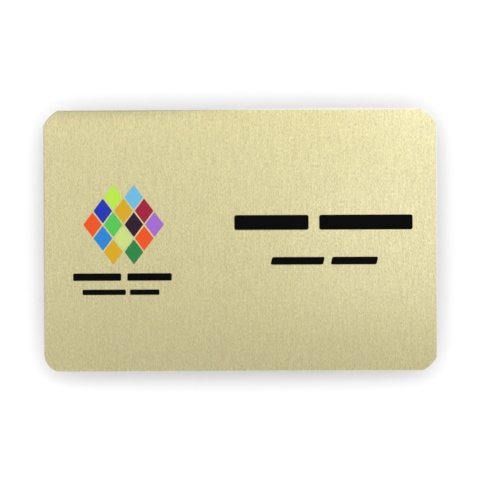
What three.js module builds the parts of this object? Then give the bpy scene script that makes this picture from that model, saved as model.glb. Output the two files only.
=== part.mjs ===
// A flat metal name badge, lying face up on the magnetic bar that fastens it to cloth.
//
// Lengths are in millimetres. +X runs to the right of the badge as it is read, +Y to its top edge and +Z out of its
// face. The origin lies on the surface that the bar rests on, below the middle of the plate.

import * as THREE from "three";

// Plate: a rectangle sheared from coated sheet metal, 3 by 2 inches
const PLATE_WIDTH = 76.2;
const PLATE_HEIGHT = 50.8;
const PLATE_THICKNESS = 0.8;
const PLATE_EDGE_ROUNDING = 0.12;

// Corners: each is clipped by hand with a punch, so no two are alike. CORNER_CLIP is how far a clip starts from the
// sharp corner, and each row has its own shares of it along the two edges. A clip with a bulge of 0 is straight, and
// one with a bulge of 1 curves out of both edges without a kink. The rows go counterclockwise.
const CORNER_CLIP = 2.8;
const CORNERS = [
  { right: -1, up: -1, shareAcross: 1.04, shareUpright: 1.21, bulge: 0.64 },
  { right: 1, up: -1, shareAcross: 0.93, shareUpright: 0.96, bulge: 0.28 },
  { right: 1, up: 1, shareAcross: 1.0, shareUpright: 0.88, bulge: 0.26 },
  { right: -1, up: 1, shareAcross: 0.96, shareUpright: 1.0, bulge: 0.29 },
];

// Bar: it has round ends, and sits above the middle of the plate so that the badge hangs upright
const BAR_LENGTH = 45;
const BAR_WIDTH = 13;
const BAR_THICKNESS = 4;
const BAR_EDGE_ROUNDING = 0.6;
const BAR_ABOVE_MIDDLE = 4;

// Film of adhesive between the bar and the back of the plate
const ADHESIVE_THICKNESS = 0.3;

// Steps in a clipped corner, in a round end of the bar, and across a rounded edge
const CLIP_STEPS = 8;
const BAR_END_STEPS = 20;
const EDGE_STEPS = 3;

const brushedGold = new THREE.MeshStandardMaterial({ color: 0xe2d8a4, metalness: 1, roughness: 0.35 });
const blackCasing = new THREE.MeshStandardMaterial({ color: 0x1b1b1d, metalness: 0, roughness: 0.5 });

// A clipped corner: where it meets its two edges, in counterclockwise order, and the point that its curve leans to.
function clipPoints(corner) {
  const sharp = new THREE.Vector2((corner.right * PLATE_WIDTH) / 2, (corner.up * PLATE_HEIGHT) / 2);
  const onLongEdge = sharp.clone();
  onLongEdge.x -= corner.right * CORNER_CLIP * corner.shareAcross;
  const onShortEdge = sharp.clone();
  onShortEdge.y -= corner.up * CORNER_CLIP * corner.shareUpright;
  const lean = onLongEdge.clone().lerp(onShortEdge, 0.5).lerp(sharp, corner.bulge);
  const startsOnShortEdge = corner.right === corner.up;
  const [start, end] = startsOnShortEdge ? [onShortEdge, onLongEdge] : [onLongEdge, onShortEdge];
  return { start, lean, end };
}

function plateOutline() {
  const outline = new THREE.Shape();
  for (const corner of CORNERS) {
    const { start, lean, end } = clipPoints(corner);
    if (corner === CORNERS[0]) outline.moveTo(start.x, start.y);
    else outline.lineTo(start.x, start.y);
    outline.quadraticCurveTo(lean.x, lean.y, end.x, end.y);
  }
  outline.closePath();
  return outline;
}

function barOutline() {
  const radius = BAR_WIDTH / 2;
  const endCentre = BAR_LENGTH / 2 - radius;
  const outline = new THREE.Shape();
  outline.absarc(endCentre, 0, radius, -Math.PI / 2, Math.PI / 2);
  outline.absarc(-endCentre, 0, radius, Math.PI / 2, (3 * Math.PI) / 2);
  outline.closePath();
  return outline;
}

// A slab with the given outline and thickness, standing on its own z = 0, with both rims rounded.
function roundedSlab(outline, thickness, rounding, curveSteps) {
  const geometry = new THREE.ExtrudeGeometry(outline, {
    depth: thickness - 2 * rounding,
    curveSegments: curveSteps,
    bevelThickness: rounding,
    bevelSize: rounding,
    bevelOffset: -rounding,
    bevelSegments: EDGE_STEPS,
  });
  geometry.translate(0, 0, rounding);
  return geometry;
}

function magnetBar() {
  const slab = roundedSlab(barOutline(), BAR_THICKNESS, BAR_EDGE_ROUNDING, BAR_END_STEPS);
  const bar = new THREE.Mesh(slab, blackCasing);
  bar.name = "magnet_bar";
  bar.position.y = BAR_ABOVE_MIDDLE;
  return bar;
}

function badgePlate() {
  const slab = roundedSlab(plateOutline(), PLATE_THICKNESS, PLATE_EDGE_ROUNDING, CLIP_STEPS);
  const plate = new THREE.Mesh(slab, brushedGold);
  plate.name = "badge_plate";
  plate.position.z = BAR_THICKNESS + ADHESIVE_THICKNESS;
  return plate;
}

const nameBadge = new THREE.Group();
nameBadge.add(badgePlate(), magnetBar());

export default nameBadge;
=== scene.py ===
# The look of a flat metal name badge that lies face up on its magnetic bar, on a pale floor.
#
# Lengths are in millimetres, apart from those of the lights, and MM turns them into Blender's
# metres. +X runs to the right of the badge as it is read, +Y to its top edge and +Z out of its face.

import math
from collections import namedtuple

import bpy
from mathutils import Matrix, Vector
from mathutils.geometry import delaunay_2d_cdt


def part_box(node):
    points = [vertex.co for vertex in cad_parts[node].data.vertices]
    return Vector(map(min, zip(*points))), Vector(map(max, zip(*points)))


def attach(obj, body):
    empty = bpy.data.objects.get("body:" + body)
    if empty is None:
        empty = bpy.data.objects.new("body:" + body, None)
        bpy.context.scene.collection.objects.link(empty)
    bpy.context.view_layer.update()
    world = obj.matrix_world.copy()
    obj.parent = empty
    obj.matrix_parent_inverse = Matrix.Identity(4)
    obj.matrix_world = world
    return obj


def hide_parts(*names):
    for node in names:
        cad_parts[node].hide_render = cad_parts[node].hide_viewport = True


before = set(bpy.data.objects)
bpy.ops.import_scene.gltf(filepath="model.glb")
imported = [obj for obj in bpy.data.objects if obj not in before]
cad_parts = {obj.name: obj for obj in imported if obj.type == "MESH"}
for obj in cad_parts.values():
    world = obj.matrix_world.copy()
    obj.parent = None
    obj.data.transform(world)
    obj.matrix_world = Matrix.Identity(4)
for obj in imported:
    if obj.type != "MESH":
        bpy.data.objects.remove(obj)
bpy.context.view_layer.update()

MM = 0.001
PLATE_LOW, PLATE_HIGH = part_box("badge_plate")
BAR_LOW, BAR_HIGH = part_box("magnet_bar")

# The coated face is square. It stops short of the sheet's right and upper edges, where the cut
# leans out bare.
SHORT_OF_RIGHT = 0.1
SHORT_OF_TOP = 0.2
COATED_LOW = Vector((PLATE_LOW.x, PLATE_LOW.y)) / MM
COATED_HIGH = Vector((PLATE_HIGH.x, PLATE_HIGH.y)) / MM - Vector((SHORT_OF_RIGHT, SHORT_OF_TOP))

# Corners of the plate, each clipped by hand with a punch, counterclockwise from the lower left.
# CORNER_CLIP is how far a clip starts from the sharp corner, and each corner has its own shares of
# it. A bulge of 0 is a straight clip.
Corner = namedtuple("Corner", "right up share_across share_upright bulge")
CORNER_CLIP = 2.8
CORNERS = (
    Corner(right=-1, up=-1, share_across=0.96, share_upright=1.13, bulge=0.64),
    Corner(right=1, up=-1, share_across=0.9, share_upright=0.93, bulge=0.28),
    Corner(right=1, up=1, share_across=1.05, share_upright=0.93, bulge=0.26),
    Corner(right=-1, up=1, share_across=1.0, share_upright=1.04, bulge=0.29),
)
CLIP_STEPS = 14
EDGE_STEP = 1.5

# Sheared edge: the coating rolls over into a coated slope. Where the cut is bare, a silver strip
# leans out below it. RIM_HOLD keeps the face flat next to the roll, and LEAST_BAND is how wide a
# slope or a strip of no width is drawn.
ROLL_RADIUS = 0.1
ROLL_STEPS = 6
RIM_HOLD = 0.03
SLOPE_LEAN = math.radians(44)
BARE_LEAN = math.radians(56)
LEAST_BAND = 0.01
BACK_ROUNDING = 0.05

# How wide the bare strip is at each corner and at the quarters of the straight edge after it,
# counterclockwise from the lower left corner, how wide the coated slope is at those quarters and how
# much of the full roll there is. At a corner the slope is as wide as where the straight edge starts.
Cut = namedtuple("Cut", "corner quarters slopes roll")
CUTS = (
    Cut(corner=0.0, quarters=(0.0, 0.0, 0.0, 0.0, 0.0), slopes=(0.0, 0.0, 0.0, 0.0, 0.0), roll=0.7),
    Cut(corner=0.0, quarters=(0.0, 0.035, 0.13, 0.17, 0.21), slopes=(0.0, 0.0, 0.0, 0.0, 0.0), roll=1.0),
    Cut(corner=0.24, quarters=(0.25, 0.27, 0.1, 0.0, 0.03), slopes=(0.0, 0.0, 0.0, 0.24, 0.3), roll=0.15),
    Cut(corner=0.12, quarters=(0.03, 0.0, 0.0, 0.0, 0.0), slopes=(0.2, 0.26, 0.28, 0.32, 0.36), roll=0.15),
)

# The shear raises a low lip with a shallow channel before it along the upper edge. The lip is full
# as far as LIP_FULL_TO along X and ends at LIP_ENDS_AT. The shear draws the face down along the lower
# edge, and the sheet bows a little there.
LIP_SLOPE = math.tan(math.radians(14))
LIP_REACH = 0.85
CHANNEL_SHARE = 0.65
CHANNEL_REACH = 4.0
LIP_ROWS_TO = 2.4
LIP_FULL_TO = -33.0
LIP_ENDS_AT = 3.0
DRAW_DEPTH = 0.03
DRAW_WIDTH = 1.5
BOW_DEPTH = 0.06
BOW_WIDTH = 10.0

# Points of the face: how far apart its columns and rows are, the rows next to its long edges, and
# how near two points have to be to count as one
FACE_COLUMN_STEP = 2.4
FACE_ROW_STEP = 2.0
FINE_ROW_STEP = 0.1
SAME_POINT_WITHIN = 1e-6

# Print: a coloured device with two lines of marks below it, and two lines of marks to its right.
# Ink lies on the face.
INK_THICKNESS = 0.02
INK_RIM_ROUNDING = 0.15
ARC_STEPS = 8

# Each mark is a plain bar: its middle, length and height, how far its ends lean, and the rounding
# of its ends
Mark = namedtuple("Mark", "middle_x middle_y length height lean rounding")
MARKS = (
    Mark(middle_x=6.05, middle_y=3.35, length=14.4, height=2.9, lean=0, rounding=0.5),
    Mark(middle_x=24.35, middle_y=3.35, length=18.1, height=2.9, lean=0, rounding=0.5),
    Mark(middle_x=11.1, middle_y=-4.1, length=10.2, height=1.5, lean=0.34, rounding=0.4),
    Mark(middle_x=22.1, middle_y=-4.1, length=8.9, height=1.5, lean=0.34, rounding=0.4),
    Mark(middle_x=-27.75, middle_y=-7.1, length=9.3, height=1.45, lean=0, rounding=0.3),
    Mark(middle_x=-17.6, middle_y=-7.1, length=8.6, height=1.45, lean=0, rounding=0.3),
    Mark(middle_x=-26.4, middle_y=-10.05, length=8.4, height=1.05, lean=0, rounding=0.25),
    Mark(middle_x=-18.55, middle_y=-10.05, length=5.7, height=1.05, lean=0, rounding=0.25),
)

# Device: a harlequin of lozenges in rows, with bare metal between them
DEVICE_MIDDLE_X = -22.6
DEVICE_MIDDLE_Y = 3.05
LOZENGE_WIDTH = 4.0
LOZENGE_HEIGHT = 5.3
LOZENGE_GAP = 0.28
INKS = {
    "amber": (0.64, 0.37, 0.02),
    "lime": (0.45, 0.75, 0.07),
    "vermilion": (0.78, 0.09, 0.02),
    "green": (0.09, 0.53, 0.09),
    "pine": (0.03, 0.22, 0.06),
    "sky": (0.15, 0.46, 0.71),
    "blue": (0.03, 0.22, 0.61),
    "royal": (0.02, 0.04, 0.42),
    "crimson": (0.33, 0.02, 0.05),
    "plum": (0.03, 0.015, 0.03),
    "violet": (0.34, 0.14, 0.58),
    "straw": (0.55, 0.68, 0.21),
}
HARLEQUIN = (
    ("lime", "sky"),
    ("royal", "amber", "crimson"),
    ("vermilion", "green", "plum", "violet"),
    ("blue", "straw", "vermilion"),
    ("amber", "pine"),
)

# Black ink of the marks, and the share of its brightness that any ink keeps over the darkest streaks
BLACK_INK = (0.002, 0.002, 0.002)
INK_DARKEST_SHARE = 0.94

# Gold of the coating: its darkest and palest streaks, and its greyest flecks. On the slope the gold keeps
# only a share of its brightness: painted shade that stands for the dark line along the upper and left edges.
GOLD_DARK = (0.666, 0.599, 0.313)
GOLD_PALE = (0.916, 0.841, 0.457)
GOLD_GREY = (0.773, 0.719, 0.443)
SHADED_SLOPE_SHARE = 0.72

# Grain of the brushed gold: short flecks, longer streaks and a slow drift from place to place, with
# how wide and how long each is, how much finer detail it has and how much it counts for
Grain = namedtuple("Grain", "across along detail weight")
GOLD_GRAIN = (
    Grain(across=0.16, along=0.5, detail=0.0, weight=0.65),
    Grain(across=0.2, along=2.4, detail=0.0, weight=0.29),
    Grain(across=9.0, along=11.0, detail=2.0, weight=0.06),
)
GREY_FLECKS = Grain(across=0.25, along=0.6, detail=0.0, weight=0.6)

# Noise seldom leaves the range from NOISE_LOW to NOISE_HIGH. The gold's grain is the sum of several
# and stays nearer to the middle. Flecks of grey begin at GREY_FROM and are full at NOISE_HIGH.
NOISE_LOW = 0.3
NOISE_HIGH = 0.7
GRAIN_LOW = 0.33
GRAIN_HIGH = 0.67
GREY_FROM = 0.52

# Bare metal of the cut and of the back. Its darkest streaks keep METAL_DARKEST_SHARE of its
# brightness, and its roughest are rougher than its smoothest by METAL_ROUGHNESS_SPREAD.
CUT_COLOR = (0.96, 0.95, 0.93)
MILL_COLOR = (0.80, 0.80, 0.80)
METAL_DARKEST_SHARE = 0.85
METAL_ROUGHNESS_SPREAD = 0.1

# Moulded casing of the bar, at its darkest and its palest
CASING_DARK = (0.012, 0.012, 0.013)
CASING_PALE = (0.026, 0.026, 0.028)

# How rough the gold, the ink and the casing are where their noise is low, and where it is high
GOLD_ROUGHNESS = (0.39, 0.33)
INK_ROUGHNESS = (0.5, 0.42)
CASING_ROUGHNESS = (0.62, 0.45)

# UV map that the direction of the brushing is read from
UV_MAP = "across_and_up"

# Which of the plate's four materials a face has
FACE_GOLD, SLOPE_GOLD, CUT_METAL, BACK_METAL = range(4)

# Bar behind the plate
BAR_EDGE_ROUNDING = 0.6
BAR_ROUNDING_STEPS = 6
BAR_END_STEPS = 24

# Floor
FLOOR_WIDTH = 6000
FLOOR_COLOR = (0.97, 0.97, 0.97)
FLOOR_ROUGHNESS = 0.9

# Camera: straight down, on a long lens, with the frame's width measured at the face of the badge
FRAME_WIDTH = 92.97
SENSOR_WIDTH = 36
LENS = 100
CAMERA_ROLL_DEG = -0.25
CAMERA_X = -0.05
CAMERA_Y = -0.02

# Dome of soft light round the badge: its brightness at heights above the horizon, in degrees
Ring = namedtuple("Ring", "height brightness")
DOME = (
    Ring(height=0, brightness=0.6),
    Ring(height=15, brightness=0.7),
    Ring(height=28, brightness=0.85),
    Ring(height=40, brightness=1.0),
    Ring(height=52, brightness=1.5),
    Ring(height=64, brightness=1.2),
    Ring(height=76, brightness=0.1),
    Ring(height=90, brightness=0.1),
)
DOME_MOST = max(ring.brightness for ring in DOME)

# Softboxes: where each stands, counterclockwise from +X and by its height, in degrees, how large it
# is in metres and how bright its face is. They all stand SOFTBOX_DISTANCE metres away.
Softbox = namedtuple("Softbox", "name azimuth elevation size brightness")
SOFTBOX_DISTANCE = 1.0
SOFTBOXES = (
    Softbox(name="nearly_overhead", azimuth=0, elevation=83, size=0.12, brightness=1.78),
    Softbox(name="high_right", azimuth=0, elevation=76, size=0.15, brightness=1.53),
    Softbox(name="high_upper_right", azimuth=45, elevation=76, size=0.15, brightness=2.99),
    Softbox(name="high_left", azimuth=180, elevation=76, size=0.15, brightness=0.79),
    Softbox(name="upper_right", azimuth=45, elevation=58, size=0.45, brightness=0.9),
    Softbox(name="upper", azimuth=90, elevation=58, size=0.45, brightness=0.79),
    Softbox(name="upper_left", azimuth=135, elevation=58, size=0.45, brightness=0.71),
    Softbox(name="lower_left", azimuth=225, elevation=58, size=0.45, brightness=0.18),
)


def corner_clip(corner):
    """Where a clipped corner starts and ends, counterclockwise, and the point that its curve leans to."""
    sharp = Vector((
        COATED_HIGH.x if corner.right > 0 else COATED_LOW.x,
        COATED_HIGH.y if corner.up > 0 else COATED_LOW.y,
    ))
    on_long_edge = sharp - Vector((corner.right * CORNER_CLIP * corner.share_across, 0))
    on_short_edge = sharp - Vector((0, corner.up * CORNER_CLIP * corner.share_upright))
    lean = on_long_edge.lerp(on_short_edge, 0.5).lerp(sharp, corner.bulge)
    if corner.right == corner.up:
        return on_short_edge, lean, on_long_edge
    return on_long_edge, lean, on_short_edge


def along_edge(widths, t):
    """A width at the share t, below 1, of the way along a straight edge, from widths spaced evenly."""
    spans = len(widths) - 1
    span = int(spans * t)
    before, after = widths[span:span + 2]
    return before + (after - before) * (spans * t - span)


def plate_outline():
    """The coated face's outline, counterclockwise, and the profile of its edge at each point."""
    points, profiles = [], []
    for index, (corner, cut) in enumerate(zip(CORNERS, CUTS)):
        start, lean, end = corner_clip(corner)
        for step in range(CLIP_STEPS + 1):
            t = step / CLIP_STEPS
            points.append(start.lerp(lean, t).lerp(lean.lerp(end, t), t))
            profiles.append(edge_profile(cut.corner, cut.slopes[0], cut.roll))
        next_start = corner_clip(CORNERS[(index + 1) % len(CORNERS)])[0]
        steps = round((next_start - end).length / EDGE_STEP)
        for step in range(1, steps):
            t = step / steps
            points.append(end.lerp(next_start, t))
            bare = along_edge(cut.quarters, t)
            slope = along_edge(cut.slopes, t)
            profiles.append(edge_profile(bare, slope, cut.roll))
    return points, profiles


def outward(points):
    """The outward direction at each point of a counterclockwise outline."""
    directions = []
    for index, point in enumerate(points):
        along = (point - points[index - 1]).normalized()
        along += (points[(index + 1) % len(points)] - point).normalized()
        directions.append(Vector((along.y, -along.x)).normalized())
    return directions


def smooth(t):
    """Rises smoothly from 0 to 1 as t does."""
    t = min(max(t, 0), 1)
    return t * t * (3 - 2 * t)


def face_rise(x, y):
    """How far the face rises at a point: the lip at its upper edge, less the draw and the bow below."""
    from_top = max(COATED_HIGH.y - y, 0)
    from_bottom = max(y - COATED_LOW.y, 0)
    drawn = DRAW_DEPTH * max(1 - from_bottom / DRAW_WIDTH, 0) ** 2
    bowed = BOW_DEPTH * max(1 - from_bottom / BOW_WIDTH, 0) ** 2
    reach = LIP_REACH * (1 - smooth((x - LIP_FULL_TO) / (LIP_ENDS_AT - LIP_FULL_TO)))
    lip = 0
    if reach > 0:
        lip = math.exp(-from_top / reach) - CHANNEL_SHARE * math.exp(-from_top / CHANNEL_REACH)
    return LIP_SLOPE * reach * lip - drawn - bowed


def face_rows():
    """Where the rows of points across the face lie along Y: close together near its long edges."""
    low = COATED_LOW.y + ROLL_RADIUS + RIM_HOLD
    high = COATED_HIGH.y - ROLL_RADIUS - RIM_HOLD
    fine_low = [low + FINE_ROW_STEP * step for step in range(1, round(DRAW_WIDTH / FINE_ROW_STEP))]
    fine_high = [high - FINE_ROW_STEP * step for step in range(1, round(LIP_ROWS_TO / FINE_ROW_STEP))]
    steps = round((fine_high[-1] - fine_low[-1]) / FACE_ROW_STEP)
    middle = [fine_low[-1] + (fine_high[-1] - fine_low[-1]) * step / steps for step in range(1, steps)]
    return fine_low + middle + fine_high


def inside(outline, point, margin):
    """Whether a point lies inside a counterclockwise outline, at least margin from it."""
    nearest, is_left = math.inf, False
    for index, corner in enumerate(outline):
        along = outline[(index + 1) % len(outline)] - corner
        offset = point - corner
        t = min(max(offset.dot(along) / along.length_squared, 0), 1)
        distance = (offset - along * t).length
        if distance < nearest:
            nearest, is_left = distance, along.cross(offset) > 0
    return is_left and nearest >= margin


def face_triangles(rim):
    """The flat points inside the rim of the face, and triangles over the rim's points and them."""
    rows = face_rows()
    width = COATED_HIGH.x - COATED_LOW.x
    columns = round(width / FACE_COLUMN_STEP)
    inner = []
    for row in rows:
        for column in range(1, columns):
            point = Vector((COATED_LOW.x + width * column / columns, row))
            if inside(rim, point, FINE_ROW_STEP / 2):
                inner.append(point)
    ring = [(index, (index + 1) % len(rim)) for index in range(len(rim))]
    points, _, triangles, origins, _, _ = delaunay_2d_cdt(rim + inner, ring, [], 1, SAME_POINT_WITHIN)
    if len(points) != len(rim) + len(inner):
        raise ValueError("the face's triangles need a point that the rim doesn't have")
    triangles = [[origins[corner][0] for corner in triangle] for triangle in triangles]
    return inner, triangles


def new_piece(name, vertices, faces, materials, face_materials=None, flat=()):
    """A mesh piece with vertices in mm, whose faces are smooth except those listed in flat."""
    mesh = bpy.data.meshes.new(name)
    mesh.from_pydata([Vector(vertex) * MM for vertex in vertices], [], faces)
    for material in materials:
        mesh.materials.append(material)
    mesh.polygons.foreach_set("use_smooth", [True] * len(faces))
    for index in flat:
        mesh.polygons[index].use_smooth = False
    if face_materials:
        mesh.polygons.foreach_set("material_index", face_materials)
    lay_uv(mesh)
    mesh.validate()
    piece = bpy.data.objects.new(name, mesh)
    bpy.context.scene.collection.objects.link(piece)
    return piece


def lay_uv(mesh):
    """Gives a mesh a UV map that is its X and Y in metres, so that U runs across the badge."""
    layer = mesh.uv_layers.new(name=UV_MAP)
    for loop in mesh.loops:
        place = mesh.vertices[loop.vertex_index].co
        layer.data[loop.index].uv = (place.x, place.y)


def join_rings(first, second, count):
    """Quads between two rings of count vertices that start at the indices first and second."""
    quads = []
    for index in range(count):
        after = (index + 1) % count
        quads.append((first + index, second + index, second + after, first + after))
    return quads


def edge_profile(bare, slope, roll):
    """The plate's edge from face to back, as pairs of inset from the outline and depth below the face."""
    bare = max(bare, LEAST_BAND)
    slope = max(slope, LEAST_BAND)
    radius = ROLL_RADIUS * roll
    profile = [(slope + radius * math.sin(SLOPE_LEAN) + RIM_HOLD, 0)]
    for step in range(ROLL_STEPS + 1):
        angle = SLOPE_LEAN * step / ROLL_STEPS
        inset = slope + radius * (math.sin(SLOPE_LEAN) - math.sin(angle))
        profile.append((inset, radius * (1 - math.cos(angle))))
    slope_end = radius * (1 - math.cos(SLOPE_LEAN)) + slope * math.tan(SLOPE_LEAN)
    thickness = (PLATE_HIGH.z - PLATE_LOW.z) / MM
    profile.append((0, slope_end))
    profile.append((-bare, slope_end + bare * math.tan(BARE_LEAN)))
    profile.append((-bare, thickness - BACK_ROUNDING))
    profile.append((BACK_ROUNDING - bare, thickness))
    return profile


def build_plate(face_gold, slope_gold, cut_metal, back_metal):
    """The plate: bands of faces down its edge from its face to its back, then the face and the back."""
    outline, profiles = plate_outline()
    directions = outward(outline)
    count = len(outline)
    face_z = PLATE_HIGH.z / MM
    back_z = PLATE_LOW.z / MM
    vertices, faces, kinds = [], [], []
    rings = list(zip(*profiles))
    for ring in rings:
        for point, direction, (inset, depth) in zip(outline, directions, ring):
            place = point - direction * inset
            share_left = 1 - depth / (face_z - back_z)
            rise = face_rise(place.x, place.y) * share_left
            vertices.append((place.x, place.y, face_z - depth + rise))
    bands = [FACE_GOLD] * (ROLL_STEPS + 1) + [SLOPE_GOLD]
    bands += [CUT_METAL] * (len(rings) - 1 - len(bands))
    for ring, kind in enumerate(bands):
        faces += join_rings(ring * count, (ring + 1) * count, count)
        kinds += [kind] * count
    rim = [Vector(vertex[:2]) for vertex in vertices[:count]]
    inner, triangles = face_triangles(rim)
    first_inner = len(vertices)
    vertices += [(point.x, point.y, face_z + face_rise(point.x, point.y)) for point in inner]
    for triangle in triangles:
        faces.append([corner if corner < count else first_inner + corner - count for corner in triangle])
        kinds.append(FACE_GOLD)
    last_ring = (len(rings) - 1) * count
    faces.append([last_ring + index for index in reversed(range(count))])
    kinds.append(BACK_METAL)
    first_of_slope = bands.index(SLOPE_GOLD) * count
    flat = list(range(first_of_slope, first_of_slope + 2 * count)) + [len(faces) - 1]
    materials = [face_gold, slope_gold, cut_metal, back_metal]
    piece = new_piece("plate", vertices, faces, materials, kinds, flat)
    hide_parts("badge_plate")
    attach(piece, "root")


def add_node(tree, kind, inputs=None, **settings):
    """Makes a node. Each of its inputs is given a number, a colour or another node's output."""
    made = tree.nodes.new(kind)
    for name, value in settings.items():
        setattr(made, name, value)
    for name, value in (inputs or {}).items():
        if isinstance(value, bpy.types.NodeSocket):
            tree.links.new(value, made.inputs[name])
        else:
            made.inputs[name].default_value = value
    return made


def new_material(name):
    """An empty material with a Principled shader, and its node tree."""
    material = bpy.data.materials.new(name)
    material.use_nodes = True
    tree = material.node_tree
    return material, tree, tree.nodes["Principled BSDF"]


def stretched_noise(tree, across, along, detail):
    """Noise whose flecks are about across wide in X and along long in Y. It runs from 0 to 1."""
    place = add_node(tree, "ShaderNodeTexCoord").outputs["Object"]
    scale = (1 / (across * MM), 1 / (along * MM), 1 / (across * MM))
    stretched = add_node(tree, "ShaderNodeVectorMath", {0: place, 1: scale}, operation="MULTIPLY")
    inputs = {"Vector": stretched.outputs[0], "Scale": 1.0, "Detail": detail}
    return add_node(tree, "ShaderNodeTexNoise", inputs).outputs["Fac"]


def gold_grain(tree):
    """The grain of the brushed face, from 0 to 1: the sum of its noises, each by its weight."""
    total = 0.0
    for grain in GOLD_GRAIN:
        noise = stretched_noise(tree, grain.across, grain.along, grain.detail)
        inputs = {0: noise, 1: grain.weight, 2: total}
        total = add_node(tree, "ShaderNodeMath", inputs, operation="MULTIPLY_ADD").outputs[0]
    return total


def between(tree, value, low, high, to_low, to_high):
    """Maps a value from low and high to two other numbers, without going past them."""
    inputs = {"Value": value, "From Min": low, "From Max": high, "To Min": to_low, "To Max": to_high}
    return add_node(tree, "ShaderNodeMapRange", inputs).outputs["Result"]


def dimmed(color, share):
    """A colour with a share of its brightness left."""
    return tuple(share * part for part in color)


def dark_to_pale(tree, share, dark, pale):
    """A colour that runs from dark to pale as share runs from 0 to 1."""
    ramp = add_node(tree, "ShaderNodeValToRGB", {"Fac": share})
    ramp.color_ramp.elements[0].color = dark + (1,)
    ramp.color_ramp.elements[1].color = pale + (1,)
    return ramp.outputs["Color"]


def add_relief(tree, shader, height, strength, depth):
    """Gives a surface a fine relief whose height is a noise."""
    bump = add_node(tree, "ShaderNodeBump", {"Height": height, "Strength": strength, "Distance": depth * MM})
    tree.links.new(bump.outputs["Normal"], shader.inputs["Normal"])


def satin_gold(name, share):
    """Satin gold coating, brushed up and down, under a clear coat. Some of its flecks are greyer. A share
    below 1 darkens all of it as painted shade.
    """
    material, tree, shader = new_material(name)
    grain = gold_grain(tree)
    streaks = between(tree, grain, GRAIN_LOW, GRAIN_HIGH, 0.0, 1.0)
    gold = dark_to_pale(tree, streaks, dimmed(GOLD_DARK, share), dimmed(GOLD_PALE, share))
    flecks = stretched_noise(tree, GREY_FLECKS.across, GREY_FLECKS.along, GREY_FLECKS.detail)
    greyer = between(tree, flecks, GREY_FROM, NOISE_HIGH, 0.0, GREY_FLECKS.weight)
    mix = add_node(tree, "ShaderNodeMix", {"Factor": greyer}, data_type="RGBA")
    tree.links.new(gold, mix.inputs["A"])
    mix.inputs["B"].default_value = dimmed(GOLD_GREY, share) + (1,)
    tangent = add_node(tree, "ShaderNodeTangent", direction_type="UV_MAP", uv_map=UV_MAP)
    roughness = between(tree, grain, GRAIN_LOW, GRAIN_HIGH, *GOLD_ROUGHNESS)
    tree.links.new(mix.outputs["Result"], shader.inputs["Base Color"])
    tree.links.new(roughness, shader.inputs["Roughness"])
    tree.links.new(tangent.outputs["Tangent"], shader.inputs["Tangent"])
    add_relief(tree, shader, grain, strength=0.15, depth=0.02)
    shader.inputs["Metallic"].default_value = 1.0
    shader.inputs["Anisotropic"].default_value = 0.7
    shader.inputs["Coat Weight"].default_value = 1.0
    shader.inputs["Coat Roughness"].default_value = 0.14
    return material


def bare_metal(name, color, across, along, least_roughness):
    """Bare aluminium with faint streaks."""
    material, tree, shader = new_material(name)
    noise = stretched_noise(tree, across, along, detail=2.0)
    streaks = between(tree, noise, NOISE_LOW, NOISE_HIGH, 0.0, 1.0)
    most_roughness = least_roughness + METAL_ROUGHNESS_SPREAD
    roughness = between(tree, noise, NOISE_LOW, NOISE_HIGH, least_roughness, most_roughness)
    shade = dark_to_pale(tree, streaks, dimmed(color, METAL_DARKEST_SHARE), color)
    tree.links.new(shade, shader.inputs["Base Color"])
    tree.links.new(roughness, shader.inputs["Roughness"])
    add_relief(tree, shader, noise, strength=0.2, depth=0.02)
    shader.inputs["Metallic"].default_value = 1.0
    return material


def ink(name, color):
    """Ink that has gone into the coating, so that the faintest streaks of the metal show through it."""
    material, tree, shader = new_material(name)
    grain = gold_grain(tree)
    streaks = between(tree, grain, NOISE_LOW, NOISE_HIGH, 0.0, 1.0)
    shade = dark_to_pale(tree, streaks, dimmed(color, INK_DARKEST_SHARE), color)
    tree.links.new(shade, shader.inputs["Base Color"])
    roughness = between(tree, grain, NOISE_LOW, NOISE_HIGH, *INK_ROUGHNESS)
    tree.links.new(roughness, shader.inputs["Roughness"])
    shader.inputs["Specular IOR Level"].default_value = 0.03
    return material


def moulded_black():
    """Moulded black plastic with a fine matt grain."""
    material, tree, shader = new_material("moulded_black")
    grain = stretched_noise(tree, across=0.12, along=0.12, detail=3.0)
    tree.links.new(dark_to_pale(tree, grain, CASING_DARK, CASING_PALE), shader.inputs["Base Color"])
    roughness = between(tree, grain, NOISE_LOW, NOISE_HIGH, *CASING_ROUGHNESS)
    tree.links.new(roughness, shader.inputs["Roughness"])
    add_relief(tree, shader, grain, strength=0.3, depth=0.03)
    return material


def rounded_outline(corners, rounding):
    """A polygon's outline with its corners rounded, from sharp corners given counterclockwise."""
    points = []
    for index, corner in enumerate(corners):
        before = (corners[index - 1] - corner).normalized()
        after = (corners[(index + 1) % len(corners)] - corner).normalized()
        start, end = corner + before * rounding, corner + after * rounding
        for step in range(ARC_STEPS + 1):
            t = step / ARC_STEPS
            points.append(start.lerp(corner, t).lerp(corner.lerp(end, t), t))
    return points


def ink_patch(outline, vertices, faces):
    """Adds one thin patch of ink to the lists of a piece's vertices and faces."""
    count = len(outline)
    first = len(vertices)
    foot = PLATE_HIGH.z / MM
    for height in (0, INK_THICKNESS):
        vertices += [(point.x, point.y, foot + height) for point in outline]
    faces += join_rings(first + count, first, count)
    faces.append([first + count + index for index in range(count)])
    faces.append([first + index for index in reversed(range(count))])


def ink_piece(name, outlines, material):
    vertices, faces = [], []
    for outline in outlines:
        ink_patch(outline, vertices, faces)
    piece = new_piece(name, vertices, faces, [material], flat=range(len(faces)))
    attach(piece, "root")


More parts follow.
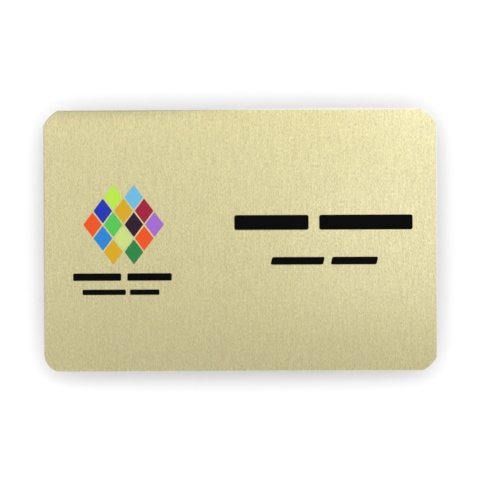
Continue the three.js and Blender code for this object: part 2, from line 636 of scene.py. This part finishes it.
def mark_outline(mark):
    half_length, half_height = mark.length / 2, mark.height / 2
    lean = mark.lean / 2
    middle = Vector((mark.middle_x, mark.middle_y))
    corners = [
        middle + Vector((-half_length - lean, -half_height)),
        middle + Vector((half_length - lean, -half_height)),
        middle + Vector((half_length + lean, half_height)),
        middle + Vector((-half_length + lean, half_height)),
    ]
    return rounded_outline(corners, mark.rounding)


def lozenge_outline(middle):
    half_width = LOZENGE_WIDTH / 2
    half_height = LOZENGE_HEIGHT / 2
    shrink = 1 - LOZENGE_GAP / 2 * math.hypot(half_width, half_height) / (half_width * half_height)
    corners = [
        middle + Vector((0, -half_height)) * shrink,
        middle + Vector((half_width, 0)) * shrink,
        middle + Vector((0, half_height)) * shrink,
        middle + Vector((-half_width, 0)) * shrink,
    ]
    return rounded_outline(corners, INK_RIM_ROUNDING)


def print_face():
    """All the print: the marks in black, and the device in one piece for each colour of ink."""
    black = ink("ink_black", BLACK_INK)
    ink_piece("printed_marks", [mark_outline(mark) for mark in MARKS], black)
    by_color = {name: [] for name in INKS}
    for row, names in enumerate(HARLEQUIN):
        y = DEVICE_MIDDLE_Y + LOZENGE_HEIGHT / 2 * ((len(HARLEQUIN) - 1) / 2 - row)
        for column, name in enumerate(names):
            x = DEVICE_MIDDLE_X + LOZENGE_WIDTH * (column - (len(names) - 1) / 2)
            by_color[name].append(lozenge_outline(Vector((x, y))))
    for name, outlines in by_color.items():
        ink_piece("lozenges_" + name, outlines, ink("ink_" + name, INKS[name]))


def bar_outline(inset):
    """The bar's outline with its round ends, counterclockwise, moved in by inset."""
    radius = (BAR_HIGH.y - BAR_LOW.y) / MM / 2
    middle_y = (BAR_HIGH.y + BAR_LOW.y) / MM / 2
    points = []
    for side in (1, -1):
        centre_x = (BAR_HIGH.x / MM - radius) if side > 0 else (BAR_LOW.x / MM + radius)
        for step in range(BAR_END_STEPS + 1):
            angle = math.pi * step / BAR_END_STEPS - side * math.pi / 2
            out = Vector((math.cos(angle), math.sin(angle))) * (radius - inset)
            points.append((centre_x + out.x, middle_y + out.y))
    return points


def build_bar(casing):
    """The magnetic bar, with rounded rims."""
    thickness = (BAR_HIGH.z - BAR_LOW.z) / MM
    profile = []
    for step in range(BAR_ROUNDING_STEPS + 1):
        angle = math.pi / 2 * step / BAR_ROUNDING_STEPS
        inset = BAR_EDGE_ROUNDING * (1 - math.sin(angle))
        profile.append((inset, thickness - BAR_EDGE_ROUNDING * (1 - math.cos(angle))))
    profile += [(inset, thickness - height) for inset, height in reversed(profile)]
    vertices, faces = [], []
    for inset, height in profile:
        vertices += [(x, y, BAR_LOW.z / MM + height) for x, y in bar_outline(inset)]
    count = len(bar_outline(0))
    for ring in range(len(profile) - 1):
        faces += join_rings(ring * count, (ring + 1) * count, count)
    last_ring = (len(profile) - 1) * count
    faces.append(list(range(count)))
    faces.append([last_ring + index for index in reversed(range(count))])
    piece = new_piece("bar", vertices, faces, [casing], flat=[len(faces) - 2, len(faces) - 1])
    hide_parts("magnet_bar")
    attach(piece, "root")


def lay_floor():
    """A plain white floor that reaches past every view's frame."""
    half = FLOOR_WIDTH * MM / 2
    mesh = bpy.data.meshes.new("floor")
    corners = [(-half, -half, 0), (half, -half, 0), (half, half, 0), (-half, half, 0)]
    mesh.from_pydata(corners, [], [(0, 1, 2, 3)])
    material, _, shader = new_material("floor")
    shader.inputs["Base Color"].default_value = FLOOR_COLOR + (1,)
    shader.inputs["Roughness"].default_value = FLOOR_ROUGHNESS
    mesh.materials.append(material)
    floor = bpy.data.objects.new("floor", mesh)
    bpy.context.scene.collection.objects.link(floor)


def hang_softboxes():
    """Area lights that face the badge. A square's power is pi times its area times its radiance."""
    for box in SOFTBOXES:
        light = bpy.data.lights.new(box.name, "AREA")
        light.shape = "SQUARE"
        light.size = box.size
        light.energy = math.pi * box.size ** 2 * box.brightness
        lamp = bpy.data.objects.new(box.name, light)
        azimuth, elevation = math.radians(box.azimuth), math.radians(box.elevation)
        away = Vector((
            math.cos(azimuth) * math.cos(elevation),
            math.sin(azimuth) * math.cos(elevation),
            math.sin(elevation),
        ))
        lamp.location = away * SOFTBOX_DISTANCE
        lamp.rotation_euler = away.to_track_quat("Z", "Y").to_euler()
        lamp.visible_camera = False
        bpy.context.scene.collection.objects.link(lamp)


def light_dome():
    """Soft light from all round, whose brightness depends on the height that it comes from."""
    world = bpy.data.worlds.new("dome")
    world.use_nodes = True
    tree = world.node_tree
    direction = add_node(tree, "ShaderNodeTexCoord").outputs["Generated"]
    height = add_node(tree, "ShaderNodeSeparateXYZ", {"Vector": direction}).outputs["Z"]
    ramp = add_node(tree, "ShaderNodeValToRGB", {"Fac": height})
    stops = ramp.color_ramp.elements
    while len(stops) > 1:
        stops.remove(stops[-1])
    for index, ring in enumerate(DOME):
        position = math.sin(math.radians(ring.height))
        stop = stops.new(position) if index else stops[0]
        stop.position = position
        stop.color = (ring.brightness / DOME_MOST,) * 3 + (1,)
    background = tree.nodes["Background"]
    tree.links.new(ramp.outputs["Color"], background.inputs["Color"])
    background.inputs["Strength"].default_value = DOME_MOST
    bpy.context.scene.world = world


def set_camera():
    """A camera that looks straight down on the middle of the badge."""
    data = bpy.data.cameras.new("camera")
    data.lens = LENS
    data.sensor_width = SENSOR_WIDTH
    data.clip_start = 0.01
    data.clip_end = 10
    camera = bpy.data.objects.new("camera", data)
    height = PLATE_HIGH.z + FRAME_WIDTH * MM * LENS / SENSOR_WIDTH
    camera.location = (CAMERA_X * MM, CAMERA_Y * MM, height)
    camera.rotation_euler = (0, 0, math.radians(CAMERA_ROLL_DEG))
    bpy.context.scene.collection.objects.link(camera)
    bpy.context.scene.camera = camera


build_plate(
    satin_gold("satin_gold", 1.0),
    # The slope's gold is darkened: painted shade for the dark line along the upper and left edges
    satin_gold("shaded_slope_gold", SHADED_SLOPE_SHARE),
    bare_metal("cut_aluminium", CUT_COLOR, across=0.1, along=0.1, least_roughness=0.2),
    bare_metal("mill_aluminium", MILL_COLOR, across=0.4, along=30.0, least_roughness=0.4),
)
print_face()
build_bar(moulded_black())
lay_floor()
hang_softboxes()
light_dome()
set_camera()
bpy.context.scene.view_settings.view_transform = "Standard"
